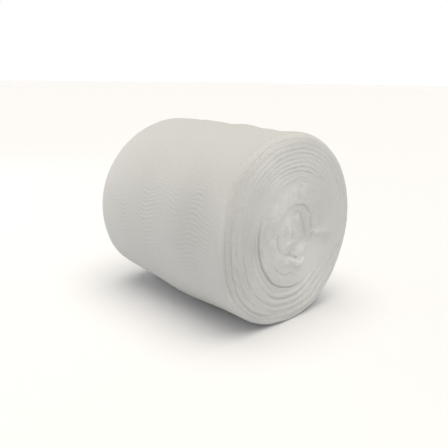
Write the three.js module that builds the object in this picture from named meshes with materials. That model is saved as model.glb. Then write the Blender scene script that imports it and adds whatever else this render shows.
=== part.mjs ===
// Gauze bandage roll lying on its side. Millimetres, +Z up.
//
// The roll is one long strip of absorbent cotton gauze, folded lengthwise into four plies and wound on
// itself without a core, so it is a single solid. Its axis runs along X. The near end, at +X, shows the
// folded edges of the turns as a spiral of soft ridges, two open gaps between turns and a crumpled heart.
// The far end, at -X, is rounder and plainer. The cloth's cut end lies along the back of the roll.
// The origin is at floor level, under the middle of the roll. Angles are in degrees from +Y towards +Z.
import * as THREE from "three";
import { LoftGeometry } from "three/addons/geometries/LoftGeometry.js";

// The wound form.
const CLOTH_WIDTH = 229; // the strip folded in four, which is the roll's length
const ROLL_RADIUS = 100.5;
const NEAR_SHOULDER = 10; // rounding where the side turns into the near end
const FAR_SHOULDER = 32;
const CLOTH_STEP = 1.4; // four plies, at the cut end of the outer turn
const CUT_END_ANGLE = 20; // on the back of the roll
const STEP_ANGLE = 0.3; // what the cut edge itself takes up
const FOOT_DEPTH = 2.4; // how far the roll's own weight presses its underside flat

// The turns, as far as they show from a step away.
const RIDGE_PITCH = 8.8; // from one spiral ridge to the next
const NEAR_RIDGE_HEIGHT = 1.1;
const FAR_RIDGE_HEIGHT = 0.9;
const HEART_RADIUS = 31; // the loose turns in the middle of an end
const NEAR_HEART_DEPTH = 4.4;
const FAR_HEART_DEPTH = 5;

// The middle turns of the near end have sunk a little, most of all on this radius.
const SINKING = { radius: 57, reach: 42, y: 0.5, z: -3.5 };

// Open gaps between turns on the near end. `radius` is at the middle of a gap's arc, and a gap winds outwards
// with the ridges.
const GAPS = [
  { radius: 53.5, from: 140, to: 305, width: 6.4, depth: 4.8 },
  { radius: 88, from: 145, to: 275, width: 6, depth: 3.4 },
  { radius: 28, from: -42, to: 112, width: 6, depth: 4.2 },
  { radius: 17.5, from: -35, to: 100, width: 5.4, depth: 3.2 },
  { radius: 27, from: 185, to: 250, width: 5.4, depth: 3 },
];

// Folds that run outwards from the heart of the near end, where the inner turns are gathered.
const FOLDS = [
  { angle: 103, from: 24, to: 52, width: 9, height: 1.3 },
  { angle: 87, from: 24, to: 50, width: 8, height: -1.7 },
  { angle: 72, from: 26, to: 48, width: 9, height: 1.2 },
  { angle: 8, from: 26, to: 66, width: 15, height: -1.6 },
  { angle: -9, from: 26, to: 62, width: 10, height: 1.4 },
  { angle: -62, from: 24, to: 44, width: 9, height: 1.3 },
  { angle: -84, from: 22, to: 44, width: 8, height: -1.6 },
  { angle: -106, from: 24, to: 46, width: 9, height: 1.3 },
];

// Broad dents and swells of the ends. Each end has a small tongue of cloth standing in its middle.
const NEAR_SWELLS = [
  { y: 50, z: 36, spread: 46, height: -1.8 },
  { y: 34, z: -40, spread: 44, height: 0.8 },
  { y: -5, z: 1, spread: 13, height: 3.4 },
  { y: 6, z: -17, spread: 12, height: 1.6 },
];
const FAR_SWELLS = [
  { y: 2, z: -2, spread: 14, height: 3.4 },
  { y: 30, z: 44, spread: 40, height: -1.4 },
  { y: -42, z: -20, spread: 40, height: 0.6 },
];

// Swells and troughs of the side: the roll is fuller along its top than at its near end.
const SIDE_SWELLS = [
  { x: -50, angle: 80, length: 105, arc: 75, height: 3 },
  { x: 22, angle: 84, length: 36, arc: 60, height: 1 },
  { x: 12, angle: 240, length: 66, arc: 34, height: 1.6 },
  { x: -104, angle: 236, length: 44, arc: 34, height: -2.4 },
  { x: -45, angle: 88, length: 13, arc: 50, height: -0.8 },
  { x: -66, angle: 150, length: 46, arc: 50, height: 1 },
  { x: 4, angle: 190, length: 50, arc: 46, height: -0.9 },
  { x: 10, angle: 330, length: 70, arc: 50, height: 1 },
  { x: -60, angle: 36, length: 50, arc: 40, height: -0.8 },
];

// How finely the skin is divided.
const COLUMNS = 58;
const FAR_ROWS = 19;
const FAR_SHOULDER_ROWS = 9;
const SIDE_ROWS = 16;
const NEAR_SHOULDER_ROWS = 5;
const NEAR_ROWS = 41;
const FIRST_RING = 1.6;

const HALF_WIDTH = CLOTH_WIDTH / 2;
const AXIS_HEIGHT = ROLL_RADIUS - FOOT_DEPTH;
const FULL_TURN = 360;
const RIGHT_ANGLE = 90;
const FADE_ANGLE = 22; // over which an open gap closes at its ends
const radians = THREE.MathUtils.degToRad;

// From 1 at the middle of a form to 0 at its edge, with no crease at either.
function rounded(distance, reach) {
  const share = Math.min(Math.abs(distance) / reach, 1);
  return (1 + Math.cos(Math.PI * share)) / 2;
}

// The way from one direction to another, between minus and plus half a turn.
function turnBetween(from, to) {
  return THREE.MathUtils.euclideanModulo(to - from + FULL_TURN / 2, FULL_TURN) - FULL_TURN / 2;
}

// Share of a turn since the cut end, in the direction in which the roll winds outwards.
function woundSince(angle) {
  return THREE.MathUtils.euclideanModulo(angle - CUT_END_ANGLE, FULL_TURN) / FULL_TURN;
}

function ridges(along, angle, height) {
  const shown = THREE.MathUtils.smoothstep(along, HEART_RADIUS * 0.8, HEART_RADIUS * 1.4);
  return height * shown * Math.cos(2 * Math.PI * (along / RIDGE_PITCH - woundSince(angle)));
}

function gapDepth(along, angle) {
  let depth = 0;
  for (const gap of GAPS) {
    const fromMiddle = turnBetween((gap.from + gap.to) / 2, angle);
    const beyond = Math.abs(fromMiddle) - (gap.to - gap.from) / 2;
    const open = 1 - THREE.MathUtils.smoothstep(beyond, -FADE_ANGLE, 0);
    const radius = gap.radius + (RIDGE_PITCH * fromMiddle) / FULL_TURN;
    depth = Math.max(depth, gap.depth * open * rounded(along - radius, gap.width / 2));
  }
  return depth;
}

function foldHeight(along, angle) {
  return FOLDS.reduce((sum, fold) => {
    const aside = along * radians(turnBetween(fold.angle, angle));
    const length = fold.to - fold.from;
    const outwards = along - fold.from - length / 2;
    return sum + fold.height * rounded(aside, fold.width / 2) * rounded(outwards, length / 2);
  }, 0);
}

function swellHeight(swells, y, z) {
  return swells.reduce(
    (sum, swell) => sum + swell.height * rounded(Math.hypot(y - swell.y, z - swell.z), swell.spread),
    0,
  );
}

// How far an end's skin stands out from its flat form. `along` is the way from the axis over the skin.
function nearRelief(along, angle, y, z) {
  return (
    ridges(along, angle, NEAR_RIDGE_HEIGHT) +
    foldHeight(along, angle) +
    swellHeight(NEAR_SWELLS, y, z) -
    gapDepth(along, angle) -
    NEAR_HEART_DEPTH * rounded(along, HEART_RADIUS)
  );
}

function farRelief(along, angle, y, z) {
  return (
    ridges(along, angle, FAR_RIDGE_HEIGHT) +
    swellHeight(FAR_SWELLS, y, z) -
    FAR_HEART_DEPTH * rounded(along, HEART_RADIUS)
  );
}

function sideRelief(x, angle, wound) {
  const swells = SIDE_SWELLS.reduce((sum, swell) => {
    const here = rounded(x - swell.x, swell.length) * rounded(turnBetween(swell.angle, angle), swell.arc);
    return sum + swell.height * here;
  }, 0);
  return swells + CLOTH_STEP * (wound - 0.5);
}

// A point of the skin. `place` is the ring that it lies on, as ringPlaces describes it, and `wound` is the
// share of the outer turn that has passed there since the cut end.
function skinPoint(place, angle, wound) {
  const { x, radius, facing, along, near, side, far } = place;
  const sunk = near * rounded(along - SINKING.radius, SINKING.reach);
  const y = radius * Math.cos(radians(angle)) + SINKING.y * sunk;
  const z = radius * Math.sin(radians(angle)) + SINKING.z * sunk;
  const relief =
    (near && near * nearRelief(along, angle, y, z)) +
    (side && side * sideRelief(x, angle, wound)) +
    (far && far * farRelief(along, angle, y, z));
  const outwards = relief * Math.sin(radians(facing));
  return new THREE.Vector3(
    x + relief * Math.cos(radians(facing)),
    y + outwards * Math.cos(radians(angle)),
    Math.max(z + outwards * Math.sin(radians(angle)) + AXIS_HEIGHT, 0),
  );
}

// One ring of the skin. It starts on the turn under the cut end and comes back to it on top.
function ring(place) {
  const spacing = FULL_TURN / COLUMNS;
  const step = THREE.MathUtils.lerp(spacing / 2, STEP_ANGLE, place.side);
  const points = [skinPoint(place, CUT_END_ANGLE + step, 0)];
  for (let i = 1; i <= COLUMNS; i++) {
    points.push(skinPoint(place, CUT_END_ANGLE + i * spacing, i / COLUMNS));
  }
  return points;
}

// The rings of the skin, from the middle of the far end over the side to the middle of the near end.
// Each has its place on the smooth form, the way its surface faces from +X, how far it is from the axis over
// the skin, and how much of it belongs to the near end, the side and the far end.
function ringPlaces() {
  const farFlat = ROLL_RADIUS - FAR_SHOULDER;
  const nearFlat = ROLL_RADIUS - NEAR_SHOULDER;
  const farSide = -HALF_WIDTH + FAR_SHOULDER;
  const nearSide = HALF_WIDTH - NEAR_SHOULDER;
  const places = [];
  for (let i = 0; i < FAR_ROWS; i++) {
    const radius = THREE.MathUtils.lerp(FIRST_RING, farFlat, i / FAR_ROWS);
    places.push({ x: -HALF_WIDTH, radius, facing: 2 * RIGHT_ANGLE, along: radius, near: 0, side: 0, far: 1 });
  }
  for (let i = 0; i < FAR_SHOULDER_ROWS; i++) {
    const turned = (RIGHT_ANGLE * i) / FAR_SHOULDER_ROWS;
    const side = THREE.MathUtils.smoothstep(turned, RIGHT_ANGLE / 2, RIGHT_ANGLE);
    places.push({
      x: -HALF_WIDTH + FAR_SHOULDER * (1 - Math.cos(radians(turned))),
      radius: farFlat + FAR_SHOULDER * Math.sin(radians(turned)),
      facing: 2 * RIGHT_ANGLE - turned,
      along: farFlat + FAR_SHOULDER * radians(turned),
      near: 0,
      side,
      far: 1 - side,
    });
  }
  for (let i = 0; i < SIDE_ROWS; i++) {
    const x = THREE.MathUtils.lerp(farSide, nearSide, i / SIDE_ROWS);
    places.push({ x, radius: ROLL_RADIUS, facing: RIGHT_ANGLE, along: 0, near: 0, side: 1, far: 0 });
  }
  for (let i = NEAR_SHOULDER_ROWS; i > 0; i--) {
    const turned = (RIGHT_ANGLE * i) / NEAR_SHOULDER_ROWS;
    const side = i / NEAR_SHOULDER_ROWS;
    places.push({
      x: HALF_WIDTH - NEAR_SHOULDER * (1 - Math.cos(radians(turned))),
      radius: nearFlat + NEAR_SHOULDER * Math.sin(radians(turned)),
      facing: turned,
      along: nearFlat + NEAR_SHOULDER * radians(turned),
      near: 1 - side,
      side,
      far: 0,
    });
  }
  for (let i = NEAR_ROWS; i >= 0; i--) {
    const radius = THREE.MathUtils.lerp(FIRST_RING, nearFlat, i / NEAR_ROWS);
    places.push({ x: HALF_WIDTH, radius, facing: 0, along: radius, near: 1, side: 0, far: 0 });
  }
  return places;
}

const gauze = new THREE.MeshStandardMaterial({ color: 0xd6d3cb, roughness: 0.95, metalness: 0 });
const skin = new LoftGeometry(ringPlaces().map(ring), { capStart: true, capEnd: true });
const roll = new THREE.Mesh(skin, gauze);
roll.name = "roll";

const bandageRoll = new THREE.Group();
bandageRoll.add(roll);

export default bandageRoll;
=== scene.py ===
import math
from collections import namedtuple

import bpy
import numpy as np
from mathutils import Matrix, Vector, noise


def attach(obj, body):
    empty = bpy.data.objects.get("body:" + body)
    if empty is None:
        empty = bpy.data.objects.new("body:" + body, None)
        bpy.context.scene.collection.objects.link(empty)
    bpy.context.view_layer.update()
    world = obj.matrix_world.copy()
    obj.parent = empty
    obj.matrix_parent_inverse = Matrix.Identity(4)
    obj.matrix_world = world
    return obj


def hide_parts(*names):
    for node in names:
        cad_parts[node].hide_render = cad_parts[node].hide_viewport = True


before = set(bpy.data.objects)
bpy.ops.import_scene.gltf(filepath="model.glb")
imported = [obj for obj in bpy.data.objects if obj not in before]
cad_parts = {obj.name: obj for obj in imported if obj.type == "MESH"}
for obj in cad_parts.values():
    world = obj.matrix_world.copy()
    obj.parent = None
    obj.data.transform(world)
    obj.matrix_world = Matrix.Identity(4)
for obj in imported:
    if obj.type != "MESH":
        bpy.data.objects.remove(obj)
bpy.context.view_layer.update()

# A millimetre in metres, and a turn in degrees.
MM = 0.001
FULL_TURN = 360

# The roll, in millimetres: +X along its axis to the near end, z up from the surface it lies on.
HALF_WIDTH = 114.5
ROLL_RADIUS = 100.5
AXIS_HEIGHT = 98.1

# The outer turn of cloth: its cut end lies along the back, over the start of the same turn.
CLOTH_THICKNESS = 1.2
CLOTH_STEP = 1.4
CUT_ANGLE = 20
OVERLAP_ANGLE = 16
CLOTH_ARC = FULL_TURN + OVERLAP_ANGLE
CLOTH_LENGTH = ROLL_RADIUS * math.radians(CLOTH_ARC)
CLOTH_ACROSS = 100
CLOTH_ALONG = 300
WARP_PITCH = 1.34
WEFT_PITCH = 1.69

# The share of a turn over which the step at its cut end is blended out of the ends.
STEP_BLEND = 0.03

# One bead of the ends stands for a bundle of turns.
BUNDLE = 2
ROWS_PER_BUNDLE = 7
TURN_COLUMNS = 200
SPARE_REACH = 8
BEAD_ROUNDNESS = 0.7
WELD_DISTANCE = 0.00001

# How far out from the middle the beads start, and how far in from the edge each form dies out.
BEAD_START = 3
BEAD_FADE = 1.2
RELIEF_FADE = 3
LIFT_FADE = 6

# What the tables below hold: places and sizes in millimetres, angles in degrees from +Y towards +Z.
Arc = namedtuple("Arc", "start end fade")
Crease = namedtuple("Crease", "width height points")
Puff = namedtuple("Puff", "y z turn long short height")
Swell = namedtuple("Swell", "x angle length arc height")
Patch = namedtuple("Patch", "x angle length arc strength")
Grain = namedtuple("Grain", "pitch layer plain crumpled mottled")
Step = namedtuple("Step", "shift flattened share")

# The shoulders, where the side turns into the ends, and how far over them the outer cloth reaches.
NEAR_SHOULDER = 10
SOFT_SHOULDER = 12
SOFT_ARC = Arc(74, 184, 44)
FAR_SHOULDER = 36
NEAR_EDGE_LEAN = 62
NEAR_EDGE_RIPPLE = 5
FAR_EDGE_LEAN = 29
FAR_EDGE_RIPPLE = 3
EDGE_GAP = 0.05

# How each end is carried back under the outer cloth: a move along the axis, then a scale of the ring.
NEAR_STEPS = (Step(-1, 1, 0.982), Step(-14, 1, 0.994), Step(-1, 0, 1), Step(2, 1, 1))
FAR_STEPS = (Step(1.4, 1, 0.985), Step(9, 1, 1.09), Step(20, 1, 1.08), Step(-1, 0, 1), Step(1, 1, 1))
# Points nearer the axis and the middle than this are hidden, and are kept up off the floor.
HIDDEN_RADIUS = 98.4
HIDDEN_WIDTH = 103.5
HIDDEN_HEIGHT = 1.5

# Slits, grooves and ridges of the near end, each a smooth line through its (y, z) points.
SLITS = (
    Crease(1.8, -2.1, (
        (-46, 29), (-49.2, 15), (-50.8, 0), (-49.8, -14), (-44, -30), (-35.5, -42), (-26, -51),
        (-13, -57.5), (1, -60.5), (12, -60.5), (17, -59.5),
    )),
    Crease(2.1, -1.6, (
        (-84, 30), (-87.5, 14), (-88, -4), (-84, -30), (-77, -50), (-64, -66), (-48, -77), (-30, -84),
        (-10, -86), (8, -84.5),
    )),
    Crease(1.9, -1.6, ((-5, 24.5), (0, 26.5), (8, 27.2), (16, 25.5), (22, 21.5), (28, 16), (33, 9))),
    Crease(4.2, -0.7, ((4, 26), (15, 25), (24, 18), (30, 10), (31, 3), (34, -4), (36, -14))),
    Crease(2.6, -1.3, ((31, 11), (33, 4), (35.5, -3), (37, -10), (36.5, -20))),
    Crease(1.9, -1.2, (
        (-1, 13), (4, 17.5), (9.5, 19.5), (15, 18), (18.5, 12), (21.5, 6), (24.5, -1), (26.5, -8),
        (26, -16),
    )),
    Crease(1.8, -1.3, ((-7, -1.5), (-7.5, -10.5))),
    Crease(1.8, -1.6, ((5.5, -1), (5, -10))),
    Crease(1.3, -0.6, ((-5, -10), (15, -12))),
    Crease(2.2, -1.3, ((-14, -23.5), (-7, -25), (1, -26.5), (9, -30.5), (12.5, -33))),
    Crease(1.8, -1.1, (
        (-31, -27), (-25, -35.5), (-17, -42), (-9, -45.5), (-3, -44.5), (4, -47.5), (12, -51),
    )),
    Crease(2.4, -1.4, ((-19.5, -1), (-21, -9), (-18, -17), (-11, -23))),
    Crease(2, -1, ((34, -3), (44, -5.3))),
    Crease(5.5, -0.8, ((-47, 24), (-51, 6), (-50, -14), (-43, -31), (-33, -44), (-15, -55), (4, -58))),
    Crease(6, -1.2, ((-83, 22), (-86, 2), (-84, -20), (-77, -42), (-64, -61))),
    Crease(1.4, -1.0, (
        (-88, 38), (-93.5, 18), (-95, -6), (-91.5, -29), (-84, -47), (-71, -64), (-55, -78),
        (-36, -88),
    )),
    Crease(1.1, -0.9, (
        (-90, 42), (-96.5, 22), (-98.8, -6), (-94.5, -31), (-87, -49), (-74, -66), (-58, -80),
    )),
)

TURN_EDGES = (
    Crease(1.4, -0.8, ((-76, 34), (-80, 12), (-80.5, -10), (-78, -29), (-71, -46), (-60, -61), (-45, -73))),
    Crease(2.2, -1.0, (
        (-66, 38), (-71.5, 15), (-72.5, -5), (-70.5, -22), (-65, -38), (-56, -53), (-43, -65),
        (-27, -74), (-9, -78), (9, -78), (25, -73), (39, -64),
    )),
    Crease(2.2, -1.1, (
        (-57, 32), (-61.5, 13), (-62, -5), (-59.5, -22), (-53.5, -38), (-43.5, -52), (-30, -63),
        (-14, -69), (3, -70.5), (19, -67), (33, -58),
    )),
    Crease(2.4, 0.7, (
        (-50, 34), (-54.5, 10), (-54.5, -8), (-51, -24), (-44, -39), (-35, -50), (-22, -60),
        (-4, -65.5),
    )),
    Crease(2, 0.6, ((-88, 32), (-92.5, 10), (-92.5, -8), (-89, -28), (-81, -49), (-67, -66), (-49, -80))),
    Crease(2.4, 1.1, ((-22, 49), (-10, 54.5), (2, 57), (14, 55.5), (27, 50))),
    Crease(1.6, -0.6, ((-14, 50), (2, 53), (24, 46))),
    Crease(1.5, 0.5, ((4, 49), (26, 43))),
    Crease(1.5, -0.5, ((80, 14), (76, 31), (68, 46), (56, 61))),
    Crease(1.5, -0.5, ((86, 10), (82, 31), (74, 47), (61, 63))),
    Crease(1.2, -0.5, ((56, -66), (70, -52), (80, -36), (86, -20))),
    Crease(1.2, -0.5, ((52, -62), (66, -48), (76, -32))),
    Crease(1.2, -0.4, ((62, -68), (76, -54), (86, -36))),
)

# Pleats and folds that cross the turns round the heart.
PLEATS = (
    Crease(4, 1.0, ((-4, 27), (-4, 47))),
    Crease(3.6, -1.5, ((6.5, 29), (7.5, 47))),
    Crease(3.2, 1.0, ((13.5, 30), (14.5, 46))),
    Crease(2.2, -0.7, ((-11, 22), (-12.5, 46))),
    Crease(5, 2.5, ((33, -5), (40, -7.5), (52, -11))),
    Crease(8, 1.3, ((44, -9), (64, -11))),
    Crease(4.5, 1.7, (
        (3, 23), (10, 22.5), (17, 20), (23, 14), (25.5, 6), (28.5, -2), (31, -10), (31, -18),
    )),
    Crease(4.2, 2.2, ((-4, 16), (-3.5, 5), (-1, -4))),
    Crease(3.6, 2.7, ((-4, -28), (4, -32.5), (11, -36.5), (18, -36.5), (25, -32.5))),
)

PUFFS = (
    Puff(8, 11, 0, 4.5, 4.5, 1.6),
    Puff(0, -13.5, 0, 10, 4.5, 1.7),
    Puff(1, -24.5, 0, 4.5, 3.2, -1.2),
    Puff(10, -31.5, 0, 5.5, 2.6, -1.2),
    Puff(17, -22.5, 20, 13, 8, 1.4),
    Puff(17, -35, 8, 9, 3.6, 0.5),
    Puff(-8, -33, 60, 7, 6, 1.5),
    Puff(-29, -8, 90, 9, 4.5, 1.3),
    Puff(-18, -13, 90, 7, 3.5, 0.9),
    Puff(33, -24, 0, 13, 5.5, 0.9),
    Puff(-23, 30, 40, 22, 17, 1.5),
    Puff(10, -37, 0, 16, 10, 0.8),
    Puff(46, 6, 0, 52, 44, -1.6),
    Puff(36, -24, 20, 66, 62, -5),
    Puff(-34, 0, 90, 30, 14, -0.8),
)

# The crumpled heart is sunk below the turns round it.
HEART_Y, HEART_Z = 2, -1
HEART_RIM = (23, 32)
HEART_DEPTH = 3.2

# Where the beads of the near end show most and least.
BEAD_HEIGHT = 0.28
BEAD_LEAST = 0.02
BEADS_FROM = (30, 36)
BEAD_PLACES = (
    Puff(-38, 13, 90, 17, 13, -0.26),
    Puff(-74, -10, 90, 60, 26, 0.2),
    Puff(-42, -22, 60, 26, 13, -0.26),
    Puff(44, 4, 90, 50, 36, -0.26),
    Puff(24, -48, 0, 40, 22, -0.2),
)

# Where the plies of the near end pucker into short upright lines.
PUCKER_PITCH = 3.4
PUCKER = Puff(-38, 13, 90, 17, 13, 0.5)

# Lapped ridges over the top of the near end, and softer bands below, by angle and by radius.
TOP_ARC = Arc(34, 160, 46)
RIDGE_PITCH = 4.5
RIDGE_LAP = 0.72
RIDGE_LEAST = 0.1
RIDGE_HEIGHT = 1.35
RIDGES_FROM = (54, 60)
RIDGES_WEAKEN = (78, 90)
WEAKENING = 0.7
WOBBLE = 0.35
LOW_ARC = Arc(232, 330, 26)
LOW_PITCH = 7.4
LOW_HEIGHT = 0.7
LOW_FROM = (60, 66)

# Fine unevenness: its pitch, its layer of noise and its height in plain, crumpled and mottled places.
CRUMPLED_TO = (34, 54)
MOTTLED_ARC = Arc(118, 168, 20)
MOTTLED_FROM = (40, 60)
MOTTLED_TO = (88, 98)
NEAR_GRAINS = (
    Grain(11, 0, 0.25, 1.1, 0),
    Grain(4.5, 9, 0.1, 0.5, 0.25),
)

# The far end: a shallow hollow with a button of folds in it, beads and faint ridges.
FAR_HOLLOW_RIM = (18, 34)
FAR_HOLLOW_DEPTH = 4.4
BUTTON = Puff(2, -2, 0, 15, 15, 3.2)
FAR_BEAD_HEIGHT = 0.3
FAR_BEADS_FROM = (26, 34)
FAR_RIDGE_HEIGHT = 0.3
FAR_RIDGES_FROM = (30, 44)
FAR_WOBBLE = 0.4
FAR_GRAINS = (
    Grain(14, 20, 0.4, 0.9, 0),
    Grain(5, 24, 0.1, 0.5, 0),
)

# Painted shade: the paint darkens towards the rims of both ends, and the far end is painted a little greyer
# all over.
RIM_ARC = Arc(50, 270, 50)
RIM_PAINTED_SHADE = 0.16
RIM_FROM = (74, 94)
FAR_PAINTED_SHADE = -0.06
FAR_RIM_FROM = (40, 74)

# Painted light and shade on the near end: patches painted paler over the tops of puffs, the upper part and
# the lower right, and greyer in dents, at the left and in places at the right.
NEAR_PAINTED_LIGHT_AND_SHADE = (
    Puff(-6, 14, 90, 54, 30, 0.18),
    Puff(-20, 29, 40, 24, 18, 0.2),
    Puff(-10, 13, 60, 14, 10, 0.15),
    Puff(-5, 9, 90, 11, 4.5, 0.25),
    Puff(-28, 54, 45, 38, 20, 0.2),
    Puff(2, 44, 0, 34, 14, 0.25),
    Puff(0, 74, 0, 74, 36, 0.26),
    Puff(17, -22.5, 20, 14, 9, 0.26),
    Puff(-3, 1, 0, 6.5, 4.5, 0.3),
    Puff(-26, 32, 40, 20, 14, 0.05),
    Puff(-2, -13.5, 0, 9, 4, 0.3),
    Puff(-8, -33, 60, 7, 6, 0.12),
    Puff(-27, -9, 90, 10, 3.5, 0.3),
    Puff(41, -8, -8, 9, 4, 0.35),
    Puff(57, -10, -4, 9, 4.5, 0.25),
    Puff(-15, -5, 90, 12, 5, -0.12),
    Puff(0, -25, 0, 7, 3.5, -0.3),
    Puff(10, -31, 0, 6, 2.5, -0.3),
    Puff(-45, 2, 90, 14, 11, -0.25),
    Puff(-36, -18, 100, 30, 10, -0.12),
    Puff(-66, -42, 130, 60, 22, -0.15),
    Puff(60, -17, 90, 12, 15, -0.2),
    Puff(48, 16, 90, 40, 26, -0.1),
    Puff(32, -15, 0, 9, 9, -0.15),
    Puff(34, -36, 0, 40, 34, 0.22),
    Puff(20, -70, 0, 60, 34, 0.14),
    Puff(-68, 0, 90, 58, 20, -0.24),
    Puff(-58, -10, 90, 24, 8, -0.1),
    Puff(-47, -14, 100, 12, 6, -0.22),
    Puff(-44, 64, 40, 24, 15, 0.2),
    Puff(-32, 24, 60, 12, 9, 0.22),
    Puff(0, 12, 90, 9, 5, 0.16),
    Puff(-30, 56, 60, 20, 13, 0.16),
    Puff(12, 13, 90, 13, 8, 0.22),
    Puff(3, -4, 0, 12, 10, 0.1),
    Puff(33, -5, 90, 13, 6, -0.22),
    Puff(33, 13, 110, 9, 6, -0.15),
    Puff(15, -16, 0, 8, 6, -0.16),
    Puff(-30, 4, 90, 10, 6, -0.14),
    Puff(-23, -6, 90, 7, 3, 0.2),
    Puff(6, -28, -30, 8, 4, -0.14),
    Puff(17, -35, 8, 9, 4, 0.12),
    Puff(4, -60, 5, 26, 5, -0.14),
)
# Painted shade along the left rim and along the big slit, and a painted highlight along the crest of a
# pleat below the heart.
NEAR_PAINTED_SHADE_AND_HIGHLIGHT_LINES = (
    Crease(9, -0.2, ((-62, 72), (-78, 50), (-87, 26), (-92, 0), (-90, -26), (-80, -50))),
    Crease(7, -0.24, ((-51, 26), (-55, 6), (-54, -14), (-47, -32), (-36, -46), (-22, -57), (0, -63))),
    Crease(4, 0.45, ((-5, -28), (4, -33), (11, -37), (18, -37), (24, -33))),
)

# Broad swells of the side, by place along the axis and angle round it.
SIDE_SWELLS = (
    Swell(-50, 80, 105, 75, 3),
    Swell(22, 84, 36, 60, 1),
    Swell(14, 240, 62, 34, 1.4),
    Swell(-89, 236, 42, 32, -4.2),
    Swell(-45, 236, 60, 34, -2.6),
    Swell(-112, 122, 44, 56, -3),
    Swell(-70, 100, 40, 40, -0.7),
    Swell(-43, 88, 12, 50, -1.5),
    Swell(8, 84, 18, 50, -0.9),
    Swell(32, 84, 12, 50, 0.9),
    Swell(54, 82, 12, 50, -0.9),
    Swell(82, 80, 26, 50, -1.5),
    Swell(112, 304, 40, 32, 1.9),
    Swell(-66, 150, 46, 50, 1),
    Swell(4, 190, 50, 46, -0.9),
    Swell(10, 330, 70, 50, 1),
    Swell(-60, 36, 50, 40, -0.8),
)

# Painted light and shade on the outer cloth: paler and greyer patches, by place along the axis and angle
# round it.
SIDE_PAINTED_LIGHT_AND_SHADE = (
    Swell(-85, 165, 72, 60, 0.26),
    Swell(68, 168, 46, 48, -0.22),
    Swell(40, 30, 60, 50, 0.15),
    Swell(-20, 320, 60, 50, -0.15),
)

# A slow waver of the side, which dies out before the ends.
SIDE_WAVER = 0.5
WAVER_ALONG, WAVER_ROUND = 0.02, 2
WAVER_TO = (90, 108)

# Patches of the outer cloth where its plies make fringes, by place along the axis and angle.
FRINGES = (
    Patch(-53, 181, 17, 14, 1),
    Patch(-5, 176, 15, 20, 1),
    Patch(16, 166, 8, 13, 0.5),
    Patch(39, 166, 10, 11, 0.8),
    Patch(54, 188, 8, 9, 0.7),
    Patch(73, 182, 10, 31, 1),
    Patch(91, 176, 7, 12, 0.7),
    Patch(6, 199, 20, 8, 0.5),
    Patch(-30, 262, 26, 20, 0.7),
    Patch(-62, 20, 20, 26, 0.8),
    Patch(0, 4, 24, 30, 0.9),
    Patch(50, 28, 22, 24, 0.8),
    Patch(78, 330, 16, 30, 0.9),
    Patch(20, 312, 22, 18, 0.8),
    Patch(-50, 318, 24, 20, 0.8),
)
# Patches where its plies make a fine grid.
GRIDS = (
    Patch(30, 146, 74, 13, 1),
    Patch(-30, 60, 60, 24, 0.8),
    Patch(10, 350, 50, 14, 0.8),
    Patch(60, 290, 40, 20, 0.8),
)
PATCH_EDGE = (0.7, 1.15)
PATCH_RAGGED = 0.25
PATCH_UNEVEN = 0.7

# The fringes run along the roll in waves, which come closer together towards the far end.
FRINGE_PITCH = 4.75
FRINGE_WAVE = 3.4
FRINGE_WAVE_LENGTH = 53
FRINGE_CREST = -7
FRINGE_BEND = 0.45
FRINGE_BEND_FROM = -10
FRINGE_DRIFT = 2.2
FRINGE_JITTER = 0.8


def rounded(distance, reach):
    """One at no distance, easing to nothing at reach."""
    return (1 + np.cos(np.pi * np.clip(np.abs(distance) / reach, 0, 1))) / 2


def eased(value, low, high):
    """Nothing up to low and one from high, smooth between."""
    share = np.clip((value - low) / (high - low), 0, 1)
    return share * share * (3 - 2 * share)


def rippled(length, pitch):
    """A wave of one crest for each pitch, from -1 to 1."""
    return np.cos(2 * np.pi * length / pitch)


def turned(angle, other):
    """The turn in degrees from other to angle, from -180 to 180."""
    return (angle - other + FULL_TURN / 2) % FULL_TURN - FULL_TURN / 2


def within(angle, arc):
    """One inside an arc, easing out over its fade at each side."""
    middle, half = (arc.start + arc.end) / 2, (arc.end - arc.start) / 2
    return 1 - eased(np.abs(turned(angle, middle)), half - arc.fade, half)


def rough(y, z, pitch, layer):
    """Smooth random unevenness of about one pitch, from -1 to 1."""
    return np.array([noise.noise(Vector((a / pitch, b / pitch, layer))) for a, b in zip(y, z)])


def rough_round(angle, layer):
    """Smooth random unevenness that meets itself after a full turn."""
    turn = np.radians(angle)
    return rough(3 * np.cos(turn), 3 * np.sin(turn), 1, layer)


def curved(a, b, c, d, t):
    """The value at t between b and c, on a smooth curve through all four."""
    square = 2 * a - 5 * b + 4 * c - d
    cube = 3 * b - a - 3 * c + d
    return (2 * b + (c - a) * t + square * t**2 + cube * t**3) / 2


def smooth_line(points, steps=5):
    """More points on a smooth curve through the given ones."""
    ends = (points[0], *points, points[-1])
    line = []
    for before, start, end, after in zip(ends, ends[1:], ends[2:], ends[3:]):
        for step in range(steps):
            t = step / steps
            line.append([curved(*values, t) for values in zip(before, start, end, after)])
    line.append(points[-1])
    return np.array(line, float)


def creased(y, z, crease):
    """The height that one crease gives each place, tapered at its ends."""
    line = smooth_line(crease.points)
    (low_y, low_z), (high_y, high_z) = line.min(0) - crease.width, line.max(0) + crease.width
    near = np.flatnonzero((y > low_y) & (y < high_y) & (z > low_z) & (z < high_z))
    best = np.full(len(near), np.inf)
    share = np.zeros(len(near))
    for number, (start, end) in enumerate(zip(line, line[1:])):
        along = end - start
        offset = np.stack((y[near], z[near]), 1) - start
        held = np.clip(offset @ along / (along @ along), 0, 1)
        distance = np.hypot(*(offset - held[:, None] * along).T)
        closer = distance < best
        best = np.where(closer, distance, best)
        share = np.where(closer, (number + held) / (len(line) - 1), share)
    height = np.zeros(len(y))
    taper = 1 - np.abs(2 * share - 1) ** 4
    height[near] = crease.height * rounded(best, crease.width) * taper
    return height


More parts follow.
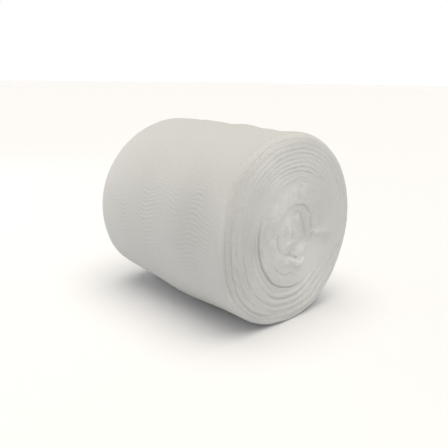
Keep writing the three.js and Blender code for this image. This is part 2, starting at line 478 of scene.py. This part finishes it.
def puffed(y, z, puff):
    """The height that one puff gives each place."""
    cos, sin = math.cos(math.radians(puff.turn)), math.sin(math.radians(puff.turn))
    along = ((y - puff.y) * cos + (z - puff.z) * sin) / puff.long
    across = ((z - puff.z) * cos - (y - puff.y) * sin) / puff.short
    return puff.height * rounded(np.hypot(along, across), 1)


def swelled(x, angle, swells):
    """The swells at each place, added up."""
    rise = np.zeros(len(x))
    for swell in swells:
        across = rounded(x - swell.x, swell.length)
        rise += swell.height * across * rounded(turned(angle, swell.angle), swell.arc)
    return rise


def patched(x, angle, patches):
    """How strongly the patches cover each place, unevenly and with ragged edges."""
    ragged = PATCH_RAGGED * rough(x, angle, 9, 44)
    cover = np.zeros(len(x))
    for patch in patches:
        along = np.abs(x - patch.x) / patch.length
        around = np.abs(turned(angle, patch.angle)) / patch.arc
        edge = eased(np.maximum(along, around) + ragged, *PATCH_EDGE)
        cover = np.maximum(cover, patch.strength * (1 - edge))
    return cover * (1 + PATCH_UNEVEN * rough(x, angle, 11, 30))


def grained(y, z, grains, crumple, mottle):
    """Fine unevenness, higher where the cloth is crumpled or mottled."""
    height = np.zeros(len(y))
    for grain in grains:
        strength = grain.plain + grain.crumpled * crumple + grain.mottled * mottle
        height += strength * rough(y, z, grain.pitch, grain.layer)
    return height


def near_folds(y, z):
    """The slits, turned edges, pleats and puffs of the near end, and its sunken heart."""
    creases = sum(creased(y, z, crease) for crease in SLITS + TURN_EDGES + PLEATS)
    puffs = sum(puffed(y, z, puff) for puff in PUFFS)
    heart = 1 - eased(np.hypot(y - HEART_Y, z - HEART_Z), *HEART_RIM)
    return creases + puffs - HEART_DEPTH * heart


def near_beads(y, z, bead):
    """The rounded bundles of turns, which stand out more in some places."""
    height = BEAD_HEIGHT + sum(puffed(y, z, place) for place in BEAD_PLACES)
    return np.clip(height, BEAD_LEAST, 1) * bead * eased(np.hypot(y, z), *BEADS_FROM)


def near_ridges(y, z):
    """Lapped ridges over the top, short upright puckers at the left and soft bands below."""
    radius = np.hypot(y, z)
    angle = np.degrees(np.arctan2(z, y))
    wobble = WOBBLE * rough(y, z, 34, 4)
    share = (radius / RIDGE_PITCH + wobble) % 1
    lapped = 0.5 - share + eased(share, RIDGE_LAP, 1)
    outside = eased(radius, *RIDGES_FROM)
    strength = RIDGE_LEAST + RIDGE_HEIGHT * within(angle, TOP_ARC) * outside
    ridges = strength * lapped * outside * (1 - WEAKENING * eased(radius, *RIDGES_WEAKEN))
    puckers = puffed(y, z, PUCKER) * rippled(y + wobble * PUCKER_PITCH / 2, PUCKER_PITCH)
    bands = LOW_HEIGHT * within(angle, LOW_ARC) * eased(radius, *LOW_FROM)
    return ridges + puckers + bands * rippled(radius + wobble * LOW_PITCH, LOW_PITCH)


def near_relief(y, z, bead):
    """How far the near end stands out at each place, in millimetres; bead is its bundle's roundness."""
    radius = np.hypot(y, z)
    angle = np.degrees(np.arctan2(z, y))
    crumple = 1 - eased(radius, *CRUMPLED_TO)
    mottle = within(angle, MOTTLED_ARC) * (1 - eased(radius, *MOTTLED_TO)) * eased(radius, *MOTTLED_FROM)
    grain = grained(y, z, NEAR_GRAINS, crumple, mottle)
    return near_folds(y, z) + near_beads(y, z, bead) + near_ridges(y, z) + grain


def far_relief(y, z, bead):
    """How far the far end stands out at each place, in millimetres."""
    radius = np.hypot(y, z)
    hollow = 1 - eased(radius, *FAR_HOLLOW_RIM)
    height = puffed(y, z, BUTTON) - FAR_HOLLOW_DEPTH * hollow
    height += FAR_BEAD_HEIGHT * bead * eased(radius, *FAR_BEADS_FROM)
    height += grained(y, z, FAR_GRAINS, hollow, 0)
    wobble = FAR_WOBBLE * rough(y, z, 40, 30)
    ridges = rippled(radius + wobble * RIDGE_PITCH, RIDGE_PITCH)
    return height + FAR_RIDGE_HEIGHT * ridges * eased(radius, *FAR_RIDGES_FROM)


def near_shoulder(angle):
    """The radius of the near shoulder, which is softer on the top."""
    return NEAR_SHOULDER + SOFT_SHOULDER * within(angle, SOFT_ARC)


def far_shoulder(angle):
    """The radius of the far shoulder, the same all round."""
    return np.full(len(angle), float(FAR_SHOULDER))


def near_edge(angle):
    """How far over the near shoulder the outer cloth ends, in radians from the end's plane."""
    return np.radians(NEAR_EDGE_LEAN + NEAR_EDGE_RIPPLE * rough_round(angle, 5))


def far_edge(angle):
    """How far over the far shoulder the outer cloth ends."""
    return np.radians(FAR_EDGE_LEAN + FAR_EDGE_RIPPLE * rough_round(angle, 8))


def shoulder_lift(angle):
    """How far the wound cloth stands off its mean radius, without a step at its cut end."""
    wound = ((angle - CUT_ANGLE) % FULL_TURN) / FULL_TURN
    blend = eased(wound, 0, STEP_BLEND) * (1 - eased(wound, 1 - STEP_BLEND, 1))
    return CLOTH_STEP * (wound - 0.5) * blend


def side_rise(x, angle):
    """How far the outer cloth swells out at each place, in millimetres."""
    turn = np.radians(angle)
    around = np.array([
        noise.noise(Vector((a * WAVER_ALONG, WAVER_ROUND * b, WAVER_ROUND * c)))
        for a, b, c in zip(x, np.cos(turn), np.sin(turn))
    ])
    return swelled(x, angle, SIDE_SWELLS) + SIDE_WAVER * around * (1 - eased(np.abs(x), *WAVER_TO))


def end_place(side, distance, angle, rise, shoulder, reach):
    """Where points of an end's skin lie, from their distance out along the skin."""
    flat = ROLL_RADIUS - shoulder
    lean = np.maximum(distance - flat, 0) / shoulder
    out = HALF_WIDTH - shoulder * (1 - np.cos(lean))
    radius = np.minimum(distance, flat) + shoulder * np.sin(lean)
    radius += side_rise(side * out, angle) * np.sin(lean)
    lift = rise + shoulder_lift(angle) * np.sin(lean) ** 2 * eased(distance, reach - LIFT_FADE, reach)
    radius += lift * np.sin(lean)
    out += lift * np.cos(lean)
    turn = np.radians(angle)
    return side * out, radius * np.cos(turn), radius * np.sin(turn)


def deselected():
    """Leaves edit mode and selects nothing."""
    if bpy.context.object and bpy.context.object.mode != "OBJECT":
        bpy.ops.object.mode_set(mode="OBJECT")
    bpy.ops.object.select_all(action="DESELECT")


def named(name):
    """Names the new object and its mesh."""
    piece = bpy.context.object
    piece.name = name
    piece.data.name = name
    return piece


def grid(name, columns, rows):
    """A unit sheet of quads centred on the origin, ready to be laid in place."""
    deselected()
    bpy.ops.mesh.primitive_grid_add(x_subdivisions=columns, y_subdivisions=rows, size=1)
    return named(name)


def corners(piece):
    """The vertices' places as an array."""
    places = np.zeros(len(piece.data.vertices) * 3)
    piece.data.vertices.foreach_get("co", places)
    return places.reshape(-1, 3)


def laid(piece, x, y, z):
    """Moves every vertex to its place, given in millimetres."""
    places = np.stack((x, y, z), 1) * MM
    piece.data.vertices.foreach_set("co", places.ravel())
    piece.data.update()


def painted(piece, name, values):
    """Gives every vertex a value that the piece's material reads."""
    layer = piece.data.attributes.new(name, "FLOAT", "POINT")
    layer.data.foreach_set("value", values)


def faced_outwards():
    """Turns the normals of the piece in edit mode outwards, and leaves edit mode."""
    bpy.ops.mesh.select_all(action="SELECT")
    bpy.ops.mesh.normals_make_consistent(inside=False)
    bpy.ops.object.mode_set(mode="OBJECT")


def smoothed(angle):
    """Shades the piece smooth, apart from edges sharper than the angle."""
    bpy.ops.object.shade_smooth_by_angle(angle=math.radians(angle))


def wound_end(name, side, shoulder_of, edge_of, relief):
    """The turns of one end, wound as a spiral of bundles out to the edge of the outer cloth."""
    rows = math.ceil((ROLL_RADIUS + SPARE_REACH) / BUNDLE + 1) * ROWS_PER_BUNDLE
    end = grid(name, TURN_COLUMNS, rows)
    unit = corners(end)
    turn = np.round((unit[:, 0] + 0.5) * TURN_COLUMNS) / TURN_COLUMNS
    row = np.round((unit[:, 1] + 0.5) * rows)
    angle = CUT_ANGLE + FULL_TURN * (turn % 1)
    shoulder = shoulder_of(angle)
    reach = ROLL_RADIUS - shoulder + shoulder * edge_of(angle) - EDGE_GAP
    distance = np.clip(BUNDLE * (row / ROWS_PER_BUNDLE + turn - 1), 0, reach)
    bead = np.abs(np.sin(np.pi * row / ROWS_PER_BUNDLE)) ** BEAD_ROUNDNESS
    bead *= eased(distance, 0, BEAD_START) * (1 - eased(distance, reach - BEAD_FADE, reach))
    _, y, z = end_place(side, distance, angle, 0, shoulder, reach)
    rise = relief(y, z, bead) * (1 - eased(distance, reach - RELIEF_FADE, reach))
    x, y, z = end_place(side, distance, angle, rise, shoulder, reach)
    laid(end, x, y, z + AXIS_HEIGHT)
    return end


def edge_ring(steps):
    """Extrudes the open ring step by step and fills the last ring."""
    centre = (0, 0, AXIS_HEIGHT * MM)
    bpy.ops.mesh.select_all(action="DESELECT")
    bpy.ops.mesh.select_non_manifold()
    for step in steps:
        bpy.ops.mesh.extrude_region_move(TRANSFORM_OT_translate={"value": (step.shift * MM, 0, 0)})
        scale = (step.flattened, step.share, step.share)
        bpy.ops.transform.resize(value=scale, center_override=centre)
    bpy.ops.mesh.edge_face_add()


def closed_end(end, steps):
    """Welds the turns, carries them back under the cloth and closes them; gives how many faces show."""
    bpy.ops.object.mode_set(mode="EDIT")
    bpy.ops.mesh.select_mode(type="VERT")
    bpy.ops.mesh.select_all(action="SELECT")
    bpy.ops.mesh.remove_doubles(threshold=WELD_DISTANCE)
    bpy.ops.object.mode_set(mode="OBJECT")
    shown_faces = len(end.data.polygons)
    bpy.ops.object.mode_set(mode="EDIT")
    edge_ring(steps)
    faced_outwards()
    x, y, z = corners(end).T / MM
    hidden = (np.hypot(y, z - AXIS_HEIGHT) < HIDDEN_RADIUS) & (np.abs(x) < HIDDEN_WIDTH)
    laid(end, x, y, np.maximum(z, np.where(hidden, HIDDEN_HEIGHT, 0)))
    smoothed(60)
    return shown_faces


def corner_values(mesh, values):
    """Each face corner's value, from one value for each vertex."""
    vertices = np.zeros(len(mesh.loops), int)
    mesh.loops.foreach_get("vertex_index", vertices)
    return values[vertices]


def corner_faces(mesh):
    """The number of the face that each corner belongs to."""
    totals = np.zeros(len(mesh.polygons), int)
    mesh.polygons.foreach_get("loop_total", totals)
    return np.repeat(np.arange(len(totals)), totals)


def bake_map(piece, u, v):
    """A second map for baked textures, beside the piece's own."""
    layer = piece.data.uv_layers.new(name="OFBake")
    layer.data.foreach_set("uv", np.stack((u, v), 1).ravel())


# On an end's bake map the shown turns fill the middle, and its hidden wall and lid a corner.
SHOWN_U, SHOWN_V, SHOWN_SCALE = 0.47, 0.53, 1 / 222
HIDDEN_U, HIDDEN_V, HIDDEN_SCALE = 0.955, 0.045, 1 / 5600


def map_end(end, shown_faces):
    """Maps the shown turns as seen along the axis, and the hidden wall and lid as a small disc."""
    x, y, z = (corner_values(end.data, axis) for axis in corners(end).T / MM)
    z = z - AXIS_HEIGHT
    radius = np.maximum(np.hypot(y, z), 0.001)
    hidden_scale = HIDDEN_SCALE * (1 + np.abs(x) / radius)
    shown = corner_faces(end.data) < shown_faces
    u = np.where(shown, SHOWN_U + y * SHOWN_SCALE, HIDDEN_U + y * hidden_scale)
    v = np.where(shown, SHOWN_V + z * SHOWN_SCALE, HIDDEN_V + z * hidden_scale)
    bake_map(end, u, v)


def make_near_turns():
    """The near end: turns, slits and pleats round a crumpled heart."""
    end = wound_end("near_turns", 1, near_shoulder, near_edge, near_relief)
    map_end(end, closed_end(end, NEAR_STEPS))
    x, y, z = corners(end).T / MM
    z -= AXIS_HEIGHT
    # Painted light and shade: paler and greyer patches and lines, and painted shade darkening towards the
    # rim.
    tone_and_painted_light = sum(puffed(y, z, place) for place in NEAR_PAINTED_LIGHT_AND_SHADE)
    tone_and_painted_light += sum(creased(y, z, line) for line in NEAR_PAINTED_SHADE_AND_HIGHLIGHT_LINES)
    painted_rim_shade = eased(np.hypot(y, z), *RIM_FROM) * within(np.degrees(np.arctan2(z, y)), RIM_ARC)
    painted(end, "tone_and_painted_light", tone_and_painted_light - RIM_PAINTED_SHADE * painted_rim_shade)
    return end


def make_far_turns():
    """The far end: plain turns round a shallow hollow."""
    end = wound_end("far_turns", -1, far_shoulder, far_edge, far_relief)
    map_end(end, closed_end(end, FAR_STEPS))
    x, y, z = corners(end).T / MM
    # Painted shade: greyer all over and darker towards the rim.
    painted_rim_shade = eased(np.hypot(y, z - AXIS_HEIGHT), *FAR_RIM_FROM)
    painted(end, "tone_and_painted_light", FAR_PAINTED_SHADE - RIM_PAINTED_SHADE * painted_rim_shade)
    return end


def lay_cloth(sheet, along, across):
    """Wraps the cloth round the roll and over both shoulders; gives each vertex's x and angle."""
    angle = CUT_ANGLE - OVERLAP_ANGLE + CLOTH_ARC * along
    wound = (angle - CUT_ANGLE) / FULL_TURN
    shoulder = near_shoulder(angle)
    near_arc = shoulder * (math.pi / 2 - near_edge(angle))
    far_arc = FAR_SHOULDER * (math.pi / 2 - far_edge(angle))
    straight = 2 * HALF_WIDTH - shoulder - FAR_SHOULDER
    length = across * (near_arc + straight + far_arc)
    near_lean = math.pi / 2 - np.maximum(near_arc - length, 0) / shoulder
    far_lean = math.pi / 2 - np.maximum(length - near_arc - straight, 0) / FAR_SHOULDER
    x = HALF_WIDTH - shoulder - np.clip(length - near_arc, 0, straight)
    x += shoulder * np.cos(near_lean) - FAR_SHOULDER * np.cos(far_lean)
    radius = ROLL_RADIUS - shoulder * (1 - np.sin(near_lean)) - FAR_SHOULDER * (1 - np.sin(far_lean))
    lean = np.sin(near_lean) * np.sin(far_lean)
    radius += CLOTH_STEP * (wound - 0.5) * lean**3 + side_rise(x, angle) * lean
    turn = np.radians(angle)
    laid(sheet, x, radius * np.cos(turn), np.maximum(AXIS_HEIGHT + radius * np.sin(turn), 0))
    return x, angle


def paint_cloth(sheet, x, angle):
    """Paints on the cloth where the fringes run, how strong each pattern is, and its painted light and
    shade.
    """
    bent = x + FRINGE_BEND * np.minimum(x - FRINGE_BEND_FROM, 0)
    wave = FRINGE_WAVE * rippled(bent - FRINGE_CREST, FRINGE_WAVE_LENGTH)
    wave += FRINGE_DRIFT * rough(x, angle, 34, 36)
    wave += FRINGE_JITTER * rough(x, angle, 9, 16)
    painted(sheet, "fringe", (ROLL_RADIUS * np.radians(angle) - wave) / FRINGE_PITCH)
    painted(sheet, "fringe_strength", patched(x, angle, FRINGES))
    painted(sheet, "grid_strength", patched(x, angle, GRIDS))
    # Painted light and shade on the side: paler and greyer patches.
    painted(sheet, "tone_and_painted_light", swelled(x, angle, SIDE_PAINTED_LIGHT_AND_SHADE))


# The cloth's bake map holds the outer skin in two bands, and the hidden inner skin and rim in a third.
MAP_MARGIN = 0.01
OUTER_BAND, OUTER_PITCH = 0.46, 0.47
INNER_BAND_FROM, INNER_BAND = 0.95, 0.03
RIM_WIDTH = 0.008


def map_cloth(sheet, along, across):
    """Maps the cloth after its thickness is added."""
    mesh = sheet.data
    faces = corner_faces(mesh)
    along = corner_values(mesh, np.tile(along, 2))
    across = corner_values(mesh, np.tile(across, 2))
    on_outer_skin = corner_values(mesh, np.repeat((1.0, 0.0), len(mesh.vertices) // 2))
    middle = np.bincount(faces, along) / np.bincount(faces)
    second = (middle > 0.5)[faces]
    outer = faces < CLOTH_ALONG * CLOTH_ACROSS
    u = np.where(outer, 2 * along - second, along)
    outer_v = MAP_MARGIN + OUTER_BAND * across + OUTER_PITCH * second
    inner_v = INNER_BAND_FROM + INNER_BAND * across + RIM_WIDTH * on_outer_skin
    bake_map(sheet, MAP_MARGIN + (1 - 2 * MAP_MARGIN) * u, np.where(outer, outer_v, inner_v))


def make_outer_turn():
    """The last turn of cloth, from under its cut end round to the cut end at the back."""
    sheet = grid("outer_turn", CLOTH_ALONG, CLOTH_ACROSS)
    unit = corners(sheet)
    along, across = unit[:, 0] + 0.5, unit[:, 1] + 0.5
    x, angle = lay_cloth(sheet, along, across)
    paint_cloth(sheet, x, angle)
    bpy.ops.object.mode_set(mode="EDIT")
    faced_outwards()
    thickness = sheet.modifiers.new("thickness", "SOLIDIFY")
    thickness.thickness = CLOTH_THICKNESS * MM
    thickness.offset = -1
    bpy.ops.object.modifier_apply(modifier=thickness.name)
    smoothed(50)
    map_cloth(sheet, along, across)
    return sheet


# The frayed ends of the lengthwise threads along the cut end of the cloth.
THREADS = 200
THREAD_SIDES = 5
THREAD_STEPS = 5
THREAD_RADIUS = 0.14
# Painted light: the threads are painted paler, to make up for the shade they cast on each other.
THREAD_PAINTED_LIGHT = 0.4
THREADS_FROM, THREADS_TO = -84, 100
THREAD_ROOT = 2
THREAD_REACH = (1.5, 4.5)
LONG_THREAD_REACH = 4
THREAD_DRIFT = 0.22
THREAD_CURL = 1.1
THREAD_LIFT = 0.6
THREAD_DROP = (0.2, 2.4)


def thread_row():
    """A row of straight threads, each one step of the row apart, a unit high for each ring."""
    deselected()
    bpy.ops.mesh.primitive_circle_add(vertices=THREAD_SIDES, radius=THREAD_RADIUS * MM, fill_type="NGON")
    threads = named("cut_threads")
    bpy.ops.object.mode_set(mode="EDIT")
    bpy.ops.mesh.select_all(action="SELECT")
    for _ in range(THREAD_STEPS):
        bpy.ops.mesh.extrude_region_move(TRANSFORM_OT_translate={"value": (0, 0, MM)})
    faced_outwards()
    row = threads.modifiers.new("row", "ARRAY")
    row.count = THREADS
    row.use_relative_offset = False
    row.use_constant_offset = True
    row.constant_offset_displace = (MM, 0, 0)
    bpy.ops.object.modifier_apply(modifier=row.name)
    return threads


def make_cut_threads():
    """Thread ends that come out of the cut and lie on the turn below."""
    threads = thread_row()
    width, height, share = corners(threads).T / MM
    thread = np.arange(len(share)) // (THREAD_SIDES * (THREAD_STEPS + 1))
    width -= thread
    share /= THREAD_STEPS
    chance = np.random.default_rng(11)
    spacing = (THREADS_TO - THREADS_FROM) / THREADS
    place = THREADS_FROM + spacing * (np.arange(THREADS) + chance.uniform(0.1, 0.9, THREADS))
    reach = chance.uniform(*THREAD_REACH, THREADS) + LONG_THREAD_REACH * chance.uniform(0, 1, THREADS) ** 5
    drift = chance.normal(0, THREAD_DRIFT, THREADS)
    curl = chance.normal(0, THREAD_CURL, THREADS)
    lift = chance.uniform(0, THREAD_LIFT, THREADS) ** 2
    out = share * (reach[thread] + THREAD_ROOT) - THREAD_ROOT
    x = place[thread] + drift[thread] * np.maximum(out, 0) + curl[thread] * share**2
    angle = CUT_ANGLE + np.degrees(out / ROLL_RADIUS)
    above = ROLL_RADIUS + CLOTH_STEP / 2 - CLOTH_THICKNESS / 2
    below = ROLL_RADIUS - CLOTH_STEP / 2 + THREAD_RADIUS
    radius = above + (below - above) * eased(out, *THREAD_DROP)
    radius += lift[thread] * share**2 + side_rise(x, angle) + height
    turn = np.radians(angle)
    laid(threads, x + width, radius * np.cos(turn), AXIS_HEIGHT + radius * np.sin(turn))
    # Painted light: paler threads, against the shade they cast on each other.
    painted(threads, "tone_and_painted_light", np.full(len(x), THREAD_PAINTED_LIGHT))
    smoothed(60)
    return threads


class Signal:
    """One socket of a material, which takes part in plain arithmetic."""

    def __init__(self, paint, socket):
        self.paint = paint
        self.socket = socket

    def worked(self, operation, *others):
        values = {index: value for index, value in enumerate((self, *others))}
        return self.paint.node("ShaderNodeMath", {"operation": operation}, values)

    def __add__(self, other):
        return self.worked("ADD", other)

    def __sub__(self, other):
        return self.worked("SUBTRACT", other)

    def __mul__(self, other):
        return self.worked("MULTIPLY", other)

    def __rsub__(self, other):
        return self.worked("MULTIPLY", -1).worked("ADD", other)

    __radd__ = __add__
    __rmul__ = __mul__

    def wave(self, pitch=1, start=0):
        """A sine of one crest for each pitch, from -1 to 1."""
        return (self * (2 * math.pi / pitch) + start).worked("SINE")


class Paint:
    """The nodes of one new material, or of the tree that it is given."""

    def __init__(self, name, tree=None):
        self.tree = tree
        if tree is None:
            self.material = bpy.data.materials.new(name)
            self.material.use_nodes = True
            self.tree = self.material.node_tree
            self.shader = self.tree.nodes["Principled BSDF"]

    def node(self, kind, settings, values=None, output=0):
        """Adds a node, its settings first, then the values or links of its sockets."""
        made = self.tree.nodes.new(kind)
        for key, value in settings.items():
            setattr(made, key, value)
        for key, value in (values or {}).items():
            self.join(made.inputs[key], value)
        return Signal(self, made.outputs[output])

    def join(self, socket, value):
        """Links a signal to a socket, or sets the socket to a value."""
        if isinstance(value, Signal):
            self.tree.links.new(value.socket, socket)
        else:
            socket.default_value = value

    def noise(self, place, scale):
        return self.node("ShaderNodeTexNoise", {}, {"Vector": place, "Scale": scale, "Detail": 2})

    def attribute(self, name):
        return self.node("ShaderNodeAttribute", {"attribute_name": name}, output="Fac")

    def mixed(self, share, start, end):
        return self.node("ShaderNodeMix", {"data_type": "RGBA"}, {0: share, 6: start, 7: end}, output=2)

    def ramp(self, value, low, high, start=0, end=1, shape="LINEAR"):
        values = {0: value, 1: low, 2: high, 3: start, 4: end}
        return self.node("ShaderNodeMapRange", {"interpolation_type": shape}, values)

    def bump(self, height):
        return self.node("ShaderNodeBump", {}, {"Strength": 1, "Distance": MM, "Height": height})

    def set(self, **values):
        for key, value in values.items():
            self.join(self.shader.inputs[key.replace("_", " ").title()], value)


GAUZE_WHITE = (0.68, 0.678, 0.662, 1)
GAUZE_SHADE = (0.46, 0.458, 0.448, 1)
GAUZE_ROUGHNESS = 0.95
GRID_LENGTH_PITCH, GRID_ACROSS_PITCH = 3.7, 4.3
GRID_SLANT = 9
FRINGE_UNEVEN = 0.35
FAINTEST_FRINGE = 0.05

# How fine the noise of each pattern is, for each 100 mm of cloth and each metre of the ends.
NOISE_LENGTH = 0.01
SLANT_NOISE, GRID_NOISE, UNEVEN_NOISE, FRINGE_NOISE, MOTTLE_NOISE, CLOUDY_NOISE = 7, 9, 11, 16, 26, 2.2
TURNS_MOTTLE_NOISE, TURNS_GRAIN_NOISE = 260, 620

# Where the noise lets the grid and the fringes show: from and to, then how strongly at each.
GRID_SHOWN = (0.4, 0.62, 0.1, 1)
FRINGE_SHOWN = (0.36, 0.56, 0.35, 1)

# How pale each material is on average, and how much each pattern pales it and raises it, in millimetres.
# The side's cloth is painted greyer than the ends', as painted shade.
SIDE_TONE_WITH_PAINTED_SHADE = 0.36
LINES_TONE, GRID_TONE, MOTTLE_TONE, CLOUDY_TONE = 0.13, 0.045, 0.2, 0.12
LINES_HEIGHT, GRID_HEIGHT, MOTTLE_HEIGHT, WEAVE_HEIGHT = 0.13, 0.05, 0.3, 0.03
TURNS_TONE = 0.6
TURNS_MOTTLE_TONE = 0.25
TURNS_MOTTLE_HEIGHT, TURNS_GRAIN_HEIGHT = 0.55, 0.25


def gauze_side():
    """The outer cloth: an open weave whose plies make wavy fringes."""
    paint = Paint("gauze_side")
    cloth = paint.node("ShaderNodeUVMap", {"uv_map": "UVMap"})
    length = paint.node("ShaderNodeSeparateXYZ", {}, {0: cloth}, output=0) * CLOTH_LENGTH
    across = paint.node("ShaderNodeSeparateXYZ", {}, {0: cloth}, output=1) * (2 * HALF_WIDTH)
    flat = paint.node("ShaderNodeCombineXYZ", {}, {0: length * NOISE_LENGTH, 1: across * NOISE_LENGTH})

    slant = paint.noise(flat, SLANT_NOISE) * GRID_SLANT
    squares = length.wave(GRID_LENGTH_PITCH, slant) + across.wave(GRID_ACROSS_PITCH, 0 - slant)
    shown = paint.ramp(paint.noise(flat, GRID_NOISE), *GRID_SHOWN)
    squares = squares * paint.attribute("grid_strength") * shown
    uneven = paint.noise(flat, UNEVEN_NOISE) - 0.5
    fringe = (paint.attribute("fringe") + uneven * FRINGE_UNEVEN).wave()
    shown = paint.ramp(paint.noise(flat, FRINGE_NOISE), *FRINGE_SHOWN)
    lines = fringe * (FAINTEST_FRINGE + paint.attribute("fringe_strength") * shown)
    weave = across.wave(WARP_PITCH) + length.wave(WEFT_PITCH)
    mottle = paint.noise(flat, MOTTLE_NOISE) - 0.5
    cloudy = paint.noise(flat, CLOUDY_NOISE) - 0.5

    height = lines * LINES_HEIGHT + squares * GRID_HEIGHT + mottle * MOTTLE_HEIGHT + weave * WEAVE_HEIGHT
    bump = paint.bump(height)
    # The tone attribute adds painted light and shade to the cloth's own fringes, grid and mottle.
    tone_and_painted_light = SIDE_TONE_WITH_PAINTED_SHADE + paint.attribute("tone_and_painted_light") + lines * LINES_TONE + squares * GRID_TONE
    tone_and_painted_light = tone_and_painted_light + mottle * MOTTLE_TONE + cloudy * CLOUDY_TONE
    colour = paint.mixed(tone_and_painted_light, GAUZE_SHADE, GAUZE_WHITE)
    paint.set(base_color=colour, roughness=GAUZE_ROUGHNESS, normal=bump)
    return paint.material


def gauze_turns():
    """The folded edges of the turns at the ends."""
    paint = Paint("gauze_turns")
    place = paint.node("ShaderNodeTexCoord", {}, output="Object")
    mottle = paint.noise(place, TURNS_MOTTLE_NOISE) - 0.5
    grain = paint.noise(place, TURNS_GRAIN_NOISE)
    bump = paint.bump(mottle * TURNS_MOTTLE_HEIGHT + grain * TURNS_GRAIN_HEIGHT)
    # The tone attribute adds painted light and shade to the ends' own mottle.
    tone_and_painted_light = TURNS_TONE + paint.attribute("tone_and_painted_light") + mottle * TURNS_MOTTLE_TONE
    colour = paint.mixed(tone_and_painted_light, GAUZE_SHADE, GAUZE_WHITE)
    paint.set(base_color=colour, roughness=GAUZE_ROUGHNESS, normal=bump)
    return paint.material


# The studio: a pale floor, even light all round, a broad warm light above and a faint one by the far end.
FLOOR_SIZE = 80
FLOOR_COLOUR = (0.81, 0.815, 0.83, 1)
HORIZON = (1, 1, 1, 1)
ZENITH = (0.37, 0.375, 0.385, 1)
SKY_FADE = (0.14, 0.4)
LIGHT_FROM = Vector((0.1, -0.05, 1))
LIGHT_SPREAD = 64
LIGHT_STRENGTH = 2.6
LIGHT_COLOUR = (1, 0.94, 0.84)
FILL_PLACE = Vector((-0.95, -0.5, 0.4))
FILL_SIZE = 0.8
FILL_STRENGTH = 1.5
ROLL_CENTRE = Vector((0, 0, AXIS_HEIGHT * MM))


def make_floor():
    """A plain pale floor under the roll."""
    deselected()
    bpy.ops.mesh.primitive_plane_add(size=FLOOR_SIZE, location=(0, 0, 0))
    floor = bpy.context.object
    floor.name = "floor"
    paint = Paint("studio_floor")
    paint.set(base_color=FLOOR_COLOUR, roughness=0.9)
    floor.data.materials.append(paint.material)


def make_sky():
    """Light from all round, white at the horizon and dimmer overhead."""
    world = bpy.data.worlds.new("studio")
    bpy.context.scene.world = world
    world.use_nodes = True
    sky = Paint("studio_sky", world.node_tree)
    looking = sky.node("ShaderNodeTexCoord", {}, output="Generated")
    rising = sky.node("ShaderNodeSeparateXYZ", {}, {0: looking}, output=2)
    glow = sky.mixed(sky.ramp(rising, *SKY_FADE, shape="SMOOTHSTEP"), HORIZON, ZENITH)
    sky.join(world.node_tree.nodes["Background"].inputs["Color"], glow)


def make_lights():
    """A broad warm light above, and a faint one that fills the shade of the far end."""
    bpy.ops.object.light_add(type="SUN", location=(0, 0, 2))
    softbox = bpy.context.object
    softbox.name = "softbox"
    softbox.data.angle = math.radians(LIGHT_SPREAD)
    softbox.data.energy = LIGHT_STRENGTH
    softbox.data.color = LIGHT_COLOUR
    softbox.rotation_euler = LIGHT_FROM.to_track_quat("Z", "Y").to_euler()

    bpy.ops.object.light_add(type="AREA", location=FILL_PLACE)
    fill = bpy.context.object
    fill.name = "fill"
    fill.data.size = FILL_SIZE
    fill.data.energy = FILL_STRENGTH
    fill.rotation_euler = (FILL_PLACE - ROLL_CENTRE).to_track_quat("Z", "Y").to_euler()


# The camera, from the near end and the front side.
CAMERA_AZIMUTH = 47.32
CAMERA_ELEVATION = 13.97
CAMERA_ROLL = 0.77
CAMERA_DISTANCE = 0.6124
LENS = 42.07
SENSOR = 36
SHIFT_X = 0.0146
SHIFT_Y = -0.0302


def make_camera():
    """The camera, turned about the line through the roll's centre."""
    azimuth, elevation, roll = (math.radians(a) for a in (CAMERA_AZIMUTH, CAMERA_ELEVATION, CAMERA_ROLL))
    back = Vector((
        math.sin(azimuth) * math.cos(elevation),
        -math.cos(azimuth) * math.cos(elevation),
        math.sin(elevation),
    ))
    right = Vector((math.cos(azimuth), math.sin(azimuth), 0))
    up = back.cross(right)
    tilted_right = math.cos(roll) * right + math.sin(roll) * up
    tilted_up = math.cos(roll) * up - math.sin(roll) * right
    turning = Matrix((tilted_right, tilted_up, back)).transposed().to_4x4()
    bpy.ops.object.camera_add()
    camera = bpy.context.object
    camera.name = "camera"
    camera.matrix_world = Matrix.Translation(ROLL_CENTRE + back * CAMERA_DISTANCE) @ turning
    camera.data.lens = LENS
    camera.data.sensor_width = SENSOR
    camera.data.shift_x = SHIFT_X
    camera.data.shift_y = SHIFT_Y
    bpy.context.scene.camera = camera
    bpy.context.scene.view_settings.view_transform = "Standard"


near_turns = make_near_turns()
far_turns = make_far_turns()
outer_turn = make_outer_turn()
cut_threads = make_cut_threads()

side_material = gauze_side()
turns_material = gauze_turns()
outer_turn.data.materials.append(side_material)
cut_threads.data.materials.append(turns_material)
near_turns.data.materials.append(turns_material)
far_turns.data.materials.append(turns_material)

for piece in (near_turns, far_turns, outer_turn, cut_threads):
    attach(piece, "root")
    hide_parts("roll")

make_floor()
make_sky()
make_lights()
make_camera()
